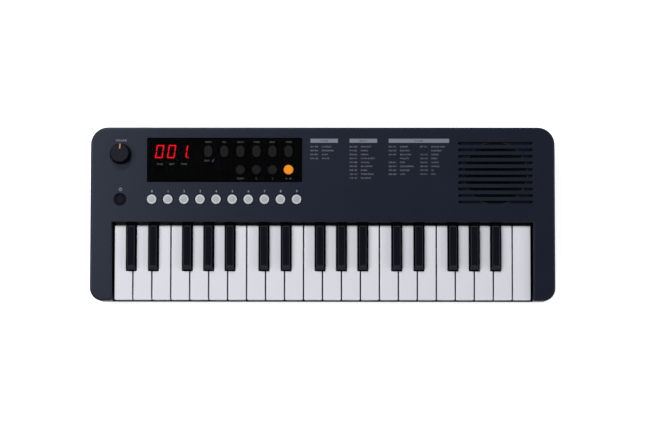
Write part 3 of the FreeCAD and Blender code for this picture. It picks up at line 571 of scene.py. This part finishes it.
def speaker_paper():
    """Pressed black paper with fibres, and ribs that run round the cone."""
    look = Look("speaker_paper", Specular_IOR_Level=0.15)
    fibres = look.noise(0.35 * MM, 5.0, (3, 1, 1))
    look.colour(look.blend(look.spread(fibres, 0, 1), (0.004, 0.004, 0.0045), (0.010, 0.010, 0.011)))
    look.rough(0.75, 0.95, 1 * MM)
    look.relief(look.rings(tuple(SPEAKER), 3.2 * MM), 0.25 * MM)
    look.relief(fibres, 0.04 * MM)
    return look.material


def floor_paper():
    look = Look("floor_paper", Roughness=0.85, Emission_Color=(1, 1, 1, 1), Emission_Strength=0.7)
    look.mottle((0.93, 0.93, 0.935), (0.95, 0.95, 0.955), 300 * MM)
    look.relief(look.noise(1.5 * MM, 4.0), 0.02 * MM)
    return look.material


def paint_nodes():
    """Gives every node that no piece replaces its finish."""
    case = case_plastic()
    steel = brushed("plated_steel", (0.5, 0.5, 0.48), (0.68, 0.68, 0.65), (0.25, 0.4), (9, 1, 1))
    board, dark = circuit_board(), dark_caps()
    finishes = {
        "upper_case": case,
        "lower_case": case,
        "battery_cover": case,
        "rubber_feet": rubber(),
        "key_frame": frame_plastic(),
        "key_contact_board": board,
        "display_window": window_acrylic(),
        "led_display": display_body(),
        "control_board": board,
        "number_buttons": skirted_cap("grey_caps", (0.51, 0.53, 0.575), (0.55, 0.57, 0.615)),
        "function_buttons": dark,
        "select_buttons": dark,
        "power_button": power_cap(),
        "start_stop_button": skirted_cap(
            "orange_cap", (0.84, 0.265, 0.002), (0.88, 0.29, 0.004), Specular_IOR_Level=0.25
        ),
        "volume_potentiometer": steel,
        "volume_shaft": steel,
        "volume_knob": knob_plastic(),
        "speaker_frame": speaker_steel(),
        "speaker_cone": speaker_paper(),
        "jack_board": socket_plastic(),
        "battery_contacts": steel,
        "screws": brushed("black_zinc", (0.05, 0.05, 0.055), (0.11, 0.11, 0.115), (0.3, 0.45), (1, 1, 4)),
    }
    white, black = white_keys(), black_keys()
    for name, node in frame["nodes"].items():
        if name.startswith("white_key"):
            finishes[name] = white
        if name.startswith("black_key"):
            finishes[name] = black
        if name in finishes:
            for material_slot in node.material_slots:
                material_slot.material = finishes[name]


# ---- making pieces ----------------------------------------------------------------------------------------
def piece(name, mesh, material, body, smooth=False):
    """Turns a bmesh into a piece that rides on a body."""
    data = bpy.data.meshes.new(name)
    mesh.to_mesh(data)
    mesh.free()
    data.materials.append(material)
    for face in data.polygons:
        face.use_smooth = smooth
    result = bpy.data.objects.new(name, data)
    bpy.context.scene.collection.objects.link(result)
    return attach(result, body)


def lathe(mesh, profile, centre, steps=32):
    """Turns a profile of (radius, height) points round a vertical axis through centre."""
    rings = []
    for radius, height in profile:
        if radius < 1e-9:
            rings.append([mesh.verts.new(centre + Vector((0, 0, height)))])
            continue
        angles = [2 * math.pi * i / steps for i in range(steps)]
        ring = [Vector((radius * math.cos(a), radius * math.sin(a), height)) for a in angles]
        rings.append([mesh.verts.new(centre + point) for point in ring])
    for low, high in zip(rings, rings[1:]):
        for i in range(steps):
            after = i + 1
            corners = [low[i % len(low)], low[after % len(low)], high[after % len(high)], high[i % len(high)]]
            corners = list(dict.fromkeys(corners))
            if len(corners) > 2:
                mesh.faces.new(corners)
    bmesh.ops.recalc_face_normals(mesh, faces=mesh.faces)


def upright(z):
    """Printing that faces up at height z."""
    return Matrix.Translation((0, 0, z))


def facing_rear(y):
    """Printing on the back: it reads from behind, with X running the other way."""
    return Matrix(((-1, 0, 0, 0), (0, 0, 1, y), (0, 1, 0, 0), (0, 0, 0, 1)))


def facing_down(z):
    return Matrix(((-1, 0, 0, 0), (0, 1, 0, 0), (0, 0, -1, z), (0, 0, 0, 1)))


class Printing:
    """Letters, bars and signs on one flat surface, gathered into one mesh."""

    def __init__(self, place):
        self.mesh = bmesh.new()
        self.place = place

    def words(self, text, x, y, size, align="CENTER", spacing=1.0, weight=0.0):
        curve = bpy.data.curves.new("words", "FONT")
        curve.body = text
        curve.size = size
        curve.offset = weight * size
        curve.align_x = align
        curve.space_character = spacing
        holder = bpy.data.objects.new("words", curve)
        letters = bpy.data.meshes.new_from_object(holder)
        letters.transform(self.place @ Matrix.Translation((x, y, 0)))
        self.mesh.from_mesh(letters)
        bpy.data.objects.remove(holder)
        bpy.data.curves.remove(curve)
        bpy.data.meshes.remove(letters)

    def outline(self, points):
        self.mesh.faces.new([self.mesh.verts.new(self.place @ Vector((x, y, 0))) for x, y in points])

    def bar(self, x0, x1, y0, y1):
        self.outline([(x0, y0), (x1, y0), (x1, y1), (x0, y1)])

    def stroke(self, start, end, width):
        """A straight line with square ends."""
        along = (Vector(end) - Vector(start)).normalized() * width / 2
        side = Vector((-along.y, along.x))
        corners = [Vector(start) - side, Vector(end) - side, Vector(end) + side, Vector(start) + side]
        self.outline([tuple(corner) for corner in corners])

    def arc(self, x, y, radius, width, start, end, steps=40):
        """A band of a circle, from start to end in degrees."""
        turns = [math.radians(start + (end - start) * i / steps) for i in range(steps + 1)]
        inner, outer = radius - width / 2, radius + width / 2
        for a, b in zip(turns, turns[1:]):
            points = [(inner, a), (outer, a), (outer, b), (inner, b)]
            self.outline([(x + r * math.cos(t), y + r * math.sin(t)) for r, t in points])

    def finish(self, name, material, body):
        bmesh.ops.recalc_face_normals(self.mesh, faces=self.mesh.faces)
        for face in self.mesh.faces:
            if face.normal.dot(self.place.to_3x3() @ Vector((0, 0, 1))) < 0:
                face.normal_flip()
        return piece(name, self.mesh, material, body)


# ---- printing ---------------------------------------------------------------------------------------------
def print_list_rows(sheet, left, rows, first):
    """Rows of number ranges and words; a row with no numbers goes on with the words above it."""
    number = first
    for i, (words, count) in enumerate(rows):
        y = LIST_TOP - LIST_ROW * i
        if count:
            sheet.words(f"{number:03}-{number + count - 1:03}", left, y, LIST_SIZE, "LEFT", 1.12)
            number += count
        sheet.words(words, left + WORD_INDENT, y, LIST_SIZE, "LEFT", 1.1)
    return number


def print_lists(pale, dark):
    """The three printed lists: a pale header bar with a dark title, then the rows."""
    rows_sheet = Printing(upright(TOP + INK))
    bars = Printing(upright(TOP + INK))
    titles = Printing(upright(TOP + 2 * INK))
    for title, left, right, columns in LISTS:
        bars.bar(left * MM, right * MM, *HEADER)
        centre = (left + right) / 2 * MM
        titles.words(title, centre, HEADER[0] + 1.15 * MM, TITLE_SIZE, spacing=1.1, weight=0.015)
        number = 1
        for column_left, rows in columns:
            number = print_list_rows(rows_sheet, column_left * MM, rows, number)
    rows_sheet.finish("list_rows", pale, "case")
    header_ink = ink("header_ink", (0.150, 0.172, 0.222), (0.168, 0.192, 0.245))
    bars.finish("list_headers", header_ink, "case")
    titles.finish("list_titles", dark, "case")


def print_panel(pale):
    """The volume and power marks and the numbers over the number buttons."""
    sheet = Printing(upright(TOP + INK))
    sheet.words("VOLUME", KNOB.x + 0.9 * MM, KNOB.y + 13.0 * MM, VOLUME_SIZE, spacing=1.05)
    for i, x in enumerate(NUMBER_X):
        sheet.words(str(i), x + 0.2 * MM, NUMBER_Y + 7.3 * MM, NUMERAL_SIZE, weight=0.008)
    x, y, radius = POWER.x + 0.5 * MM, POWER.y + 10.4 * MM, 1.45 * MM
    sheet.arc(x, y, radius, 0.42 * MM, 125, 415)
    sheet.bar(x - 0.21 * MM, x + 0.21 * MM, y + 0.1 * MM, y + radius + 0.5 * MM)
    sheet.finish("panel_printing", pale, "case")


def print_window(faint):
    """Words and signs over and under the buttons in the window, and the words under the digits."""
    sheet = Printing(upright(WINDOW_HIGH.z + INK))
    size = WINDOW_WORD_SIZE
    for words, x in zip(FUNCTION_WORDS, FUNCTION_X):
        sheet.words(words, x, FUNCTION_Y + 8.9 * MM, size)
    for i, words in enumerate(DISPLAY_WORDS):
        sheet.words(words, DISPLAY.x + DIGIT_PITCH * (i - 1) + 0.6 * MM, DISPLAY.y - 13.4 * MM, size)
    sheet.words("SPLIT", FUNCTION_X[0] - 1.2 * MM, FUNCTION_Y - 10.6 * MM, size)
    note_x, note_y = FUNCTION_X[0] + 4.6 * MM, FUNCTION_Y - 10.4 * MM
    sheet.stroke((note_x, note_y), (note_x + 1.6 * MM, note_y + 2.6 * MM), 0.5 * MM)
    sheet.arc(note_x, note_y, 0.45 * MM, 0.5 * MM, 0, 360, 16)
    below = SELECT_Y - 9.2 * MM
    sheet.words("TEMPO", FUNCTION_X[2], below - 0.8 * MM, size)
    reach = 0.75 * MM
    for x, side in ((FUNCTION_X[3], -1), (FUNCTION_X[4], 1)):
        tip = (x + side * reach, below)
        sheet.stroke((x - side * reach / 2, below + 1.1 * MM), tip, 0.36 * MM)
        sheet.stroke((x - side * reach / 2, below - 1.1 * MM), tip, 0.36 * MM)
    play, half = START_X - 1.9 * MM, 0.8 * MM
    sheet.outline([(play - half, below - half), (play + half, below), (play - half, below + half)])
    stop = START_X + 1.9 * MM
    sheet.bar(stop - 0.7 * MM, stop + 0.7 * MM, below - 0.7 * MM, below + 0.7 * MM)
    sheet.finish("window_printing", faint, "case")


def print_back(pale):
    """Words over the sockets on the back."""
    sheet = Printing(facing_rear(REAR + INK))
    for words, x in (("PEDAL", PEDAL_X), ("PHONES", PHONES_X), ("USB", USB_X)):
        sheet.words(words, -x, SOCKET_Z + 8.0 * MM, WINDOW_WORD_SIZE)
    sheet.finish("back_printing", pale, "case")


def print_battery_cover(raised):
    """A triangle that points to the battery cover's catch."""
    low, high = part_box("battery_cover")
    sheet = Printing(facing_down(low.z - INK))
    y = high.y - 12 * MM
    sheet.outline([(-3 * MM, y - 3 * MM), (3 * MM, y - 3 * MM), (0, y)])
    sheet.finish("cover_arrow", raised, "battery_cover")


# ---- display ----------------------------------------------------------------------------------------------
def display_mask():
    """The paint on the window's underside: it has the buttons' holes and is clear over the digits."""
    mesh = bmesh.new()
    mesh.from_mesh(frame["nodes"]["display_window"].data)
    bmesh.ops.remove_doubles(mesh, verts=mesh.verts, dist=1e-6)
    others = [f for f in mesh.faces if f.normal.z > -0.9]
    bmesh.ops.delete(mesh, geom=others, context="FACES")
    bmesh.ops.translate(mesh, verts=mesh.verts, vec=(0, 0, -0.04 * MM))
    margin = 0.3 * MM
    sides = [
        (Vector((DISPLAY_LOW.x + margin, 0, 0)), Vector((1, 0, 0))),
        (Vector((DISPLAY_HIGH.x - margin, 0, 0)), Vector((1, 0, 0))),
        (Vector((0, DISPLAY_LOW.y + margin, 0)), Vector((0, 1, 0))),
        (Vector((0, DISPLAY_HIGH.y - margin, 0)), Vector((0, 1, 0))),
    ]
    for point, normal in sides:
        everything = mesh.verts[:] + mesh.edges[:] + mesh.faces[:]
        bmesh.ops.bisect_plane(mesh, geom=everything, plane_co=point, plane_no=normal)
    clear = []
    for face in mesh.faces:
        place = face.calc_center_median()
        within_x = DISPLAY_LOW.x + margin < place.x < DISPLAY_HIGH.x - margin
        if within_x and DISPLAY_LOW.y + margin < place.y < DISPLAY_HIGH.y - margin:
            clear.append(face)
    bmesh.ops.delete(mesh, geom=clear, context="FACES")
    mask = piece("display_mask", mesh, mask_paint(), "case")
    thickness = mask.modifiers.new("thickness", "SOLIDIFY")
    thickness.thickness = 0.12 * MM
    thickness.offset = -1


def segment_outlines():
    """The seven segments of a digit about its middle: mitred at the digit's corners, pointed at its waist."""
    across, up = DIGIT_HALF
    width, gap = SEGMENT_WIDTH, SEGMENT_GAP
    inner, waist = across - width, width / 2
    top = [(-across + gap, up), (across - gap, up), (inner - gap, up - width), (gap - inner, up - width)]
    side = [
        (across, up - gap),
        (inner, up - width - gap),
        (inner, waist + gap),
        (inner + waist, gap),
        (across, waist + gap),
    ]
    bar = [
        (gap - inner - waist, 0),
        (gap - inner, waist),
        (inner - gap, waist),
        (inner + waist - gap, 0),
        (inner - gap, -waist),
        (gap - inner, -waist),
    ]
    return {
        "top": top,
        "bottom": [(x, -y) for x, y in top],
        "upper_right": side,
        "lower_right": [(x, -y) for x, y in side],
        "upper_left": [(-x, y) for x, y in side],
        "lower_left": [(-x, -y) for x, y in side],
        "centre": bar,
    }


def add_segment(mesh, outline, middle_point, thickness):
    """A segment with a top face and sides, leaning as the digits do."""
    points = [middle_point + Vector((x + SLANT * y, y, 0)) for x, y in outline]
    top = [mesh.verts.new(p + Vector((0, 0, thickness))) for p in points]
    low = [mesh.verts.new(p) for p in points]
    mesh.faces.new(top)
    for i in range(len(points)):
        j = (i + 1) % len(points)
        mesh.faces.new([low[i], low[j], top[j], top[i]])


def display_digits():
    """Three slanted seven-segment digits and their points, lit to show a number."""
    lit, unlit = bmesh.new(), bmesh.new()
    outlines = segment_outlines()
    bright = {"0": set(outlines) - {"centre"}, "1": {"upper_right", "lower_right"}}
    level, thickness = DISPLAY_HIGH.z - 0.3 * MM, 0.12 * MM
    for i, digit in enumerate(READING):
        middle_point = Vector((DISPLAY.x + DIGIT_PITCH * (i - 1), DISPLAY.y + 0.65 * MM, level))
        for name, outline in outlines.items():
            add_segment(lit if name in bright[digit] else unlit, outline, middle_point, thickness)
        point = middle_point + POINT_PLACE
        target = lit if i == len(READING) - 1 else unlit
        lathe(target, [(POINT_RADIUS, 0), (POINT_RADIUS, thickness), (0, thickness)], point, 20)
    for mesh in (lit, unlit):
        bmesh.ops.recalc_face_normals(mesh, faces=mesh.faces)
    red = glow("lit_segment", (1.0, 0.003, 0.014), (0.9, 0.003, 0.012), 7.0)
    piece("lit_segments", lit, red, "case")
    piece("unlit_segments", unlit, dark_segment(), "case")


# ---- small parts ------------------------------------------------------------------------------------------
def number_cap_insets():
    """The darker, dished centre of each number cap."""
    mesh = bmesh.new()
    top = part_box("number_buttons")[1].z
    radius = 3.35 * MM
    profile = [(radius, -0.26 * MM), (radius, -0.12 * MM), (radius * 0.94, -0.09 * MM), (0, -0.14 * MM)]
    for x in NUMBER_X:
        lathe(mesh, profile, Vector((x, NUMBER_Y, top)), 40)
    piece("number_cap_insets", mesh, grey_insets(), "number_buttons", smooth=True)


def rubber_domes():
    """The contact strip: a base, and a dome under each key."""
    material = silicone()
    low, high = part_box("key_contact_strip")
    base = bmesh.new()
    bmesh.ops.create_cube(base, size=1.0)
    bmesh.ops.scale(base, vec=(high.x - low.x, high.y - low.y, 1.0 * MM), verts=base.verts)
    centre = Vector(((low.x + high.x) / 2, (low.y + high.y) / 2, low.z + 0.5 * MM))
    bmesh.ops.translate(base, vec=centre, verts=base.verts)
    bmesh.ops.bevel(base, geom=base.edges[:], offset=0.25 * MM, segments=2, affect="EDGES")
    strip = piece("contact_strip_base", base, material, "case")
    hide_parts("key_contact_strip")
    height = high.z - low.z
    profile = [
        (4.3 * MM, 0.9 * MM),
        (3.9 * MM, 1.3 * MM),
        (3.2 * MM, height - 1.4 * MM),
        (2.6 * MM, height - 0.9 * MM),
        (2.5 * MM, height - 0.1 * MM),
        (2.3 * MM, height),
        (0, height),
    ]
    for joint in frame["joints"]:
        if not joint["name"].endswith("_press") or "key" not in joint["child"]:
            continue
        mesh = bmesh.new()
        lathe(mesh, profile, Vector((dome_x(joint["child"]), centre.y, low.z)), 24)
        dome = piece(f"dome_{joint['child']}", mesh, material, "case", smooth=True)
        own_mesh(dome)


def dome_x(node):
    """The middle of a key behind its head, where its dome is."""
    points = [v.co for v in frame["nodes"][node].data.vertices if v.co.y > -0.012]
    return (min(p.x for p in points) + max(p.x for p in points)) / 2


def socket_collars():
    """A plated ring in the mouth of each round socket."""
    metal = brushed("collar_steel", (0.5, 0.5, 0.49), (0.7, 0.7, 0.68), (0.2, 0.35), (1, 1, 6))
    mesh = bmesh.new()
    face = REAR - 2.4 * MM
    for x, bore, outer in COLLARS:
        ring = bmesh.new()
        profile = [(bore, 0), (bore, 1.1 * MM), (bore + 0.3 * MM, 1.4 * MM), (outer - 0.5 * MM, 1.4 * MM)]
        profile += [(outer, 0.9 * MM), (outer, 0), (bore, 0)]
        lathe(ring, profile, Vector((0, 0, 0)), 48)
        ring.transform(Matrix.Translation((x, face, SOCKET_Z)) @ Matrix.Rotation(-math.pi / 2, 4, "X"))
        data = bpy.data.meshes.new("ring")
        ring.to_mesh(data)
        ring.free()
        mesh.from_mesh(data)
        bpy.data.meshes.remove(data)
    piece("socket_collars", mesh, metal, "case", smooth=True)


# ---- studio -----------------------------------------------------------------------------------------------
def studio_floor():
    mesh = bmesh.new()
    bmesh.ops.create_grid(mesh, x_segments=8, y_segments=8, size=6.0)
    data = bpy.data.meshes.new("studio_floor")
    mesh.to_mesh(data)
    mesh.free()
    data.materials.append(floor_paper())
    floor = bpy.data.objects.new("studio_floor", data)
    bpy.context.scene.collection.objects.link(floor)


def soft_light(name, place, aim, size, power, tint=(1, 1, 1)):
    data = bpy.data.lights.new(name, "AREA")
    data.shape = "RECTANGLE"
    data.size, data.size_y = size
    data.energy = power
    data.color = tint
    light = bpy.data.objects.new(name, data)
    light.location = place
    light.rotation_euler = (Vector(aim) - Vector(place)).to_track_quat("-Z", "Y").to_euler()
    bpy.context.scene.collection.objects.link(light)


def studio_lights():
    """The main light high at the back left, soft ones to both sides and the front, and almost no sky."""
    soft_light("main_light", (-0.5, 1.35, 1.8), (0, 0, 0), (0.5, 0.4), 26, (0.98, 0.99, 1.0))
    soft_light("left_light", (-0.8, 0.15, 1.35), (-0.1, 0, 0), (0.5, 0.6), 8.5, (1.0, 1.0, 1.0))
    soft_light("right_light", (1.9, 0.0, 1.5), (0, 0, 0), (1.6, 1.2), 15, (1.0, 1.0, 1.0))
    soft_light("front_light", (0.1, -1.6, 1.8), (0, 0, 0), (2.2, 0.8), 12, (1.0, 0.99, 0.98))
    world = bpy.data.worlds.new("studio")
    world.use_nodes = True
    background = world.node_tree.nodes["Background"]
    background.inputs["Color"].default_value = (0.9, 0.93, 1.0, 1)
    background.inputs["Strength"].default_value = 0.035
    bpy.context.scene.world = world


def studio_camera():
    """Almost straight above and far away, so that the sides hardly show."""
    elevation, azimuth, distance = math.radians(85.8), math.radians(0.5), 2.6
    target = Vector((0, VIEW_CENTRE_Y, TOP))
    back = Vector(
        (math.sin(azimuth), -math.cos(elevation) * math.cos(azimuth), math.sin(elevation) * math.cos(azimuth))
    )
    level = Vector((0, 1, 0)).cross(back).normalized()
    up = Matrix.Rotation(CAMERA_ROLL, 3, back) @ back.cross(level)
    right = up.cross(back)
    data = bpy.data.cameras.new("camera")
    data.sensor_width = 36
    data.lens = 36 * distance / VIEW_WIDTH
    camera = bpy.data.objects.new("camera", data)
    axes = Matrix((right, up, back)).transposed().to_4x4()
    camera.matrix_world = Matrix.Translation(target + back * distance) @ axes
    bpy.context.scene.collection.objects.link(camera)
    bpy.context.scene.camera = camera


def main():
    paint_nodes()
    pale = ink("pale_ink", (0.27, 0.28, 0.34), (0.33, 0.34, 0.40))
    faint = ink("faint_ink", (0.055, 0.063, 0.096), (0.070, 0.079, 0.115))
    dark = ink("dark_ink", (0.02, 0.022, 0.034), (0.025, 0.028, 0.042))
    list_ink = ink("list_ink", (0.17, 0.178, 0.215), (0.21, 0.218, 0.255))
    print_lists(list_ink, dark)
    print_panel(pale)
    print_window(faint)
    print_back(pale)
    print_battery_cover(dark)
    display_mask()
    display_digits()
    number_cap_insets()
    rubber_domes()
    socket_collars()
    studio_floor()
    studio_lights()
    studio_camera()
    bpy.context.scene.view_settings.view_transform = "Standard"


main()
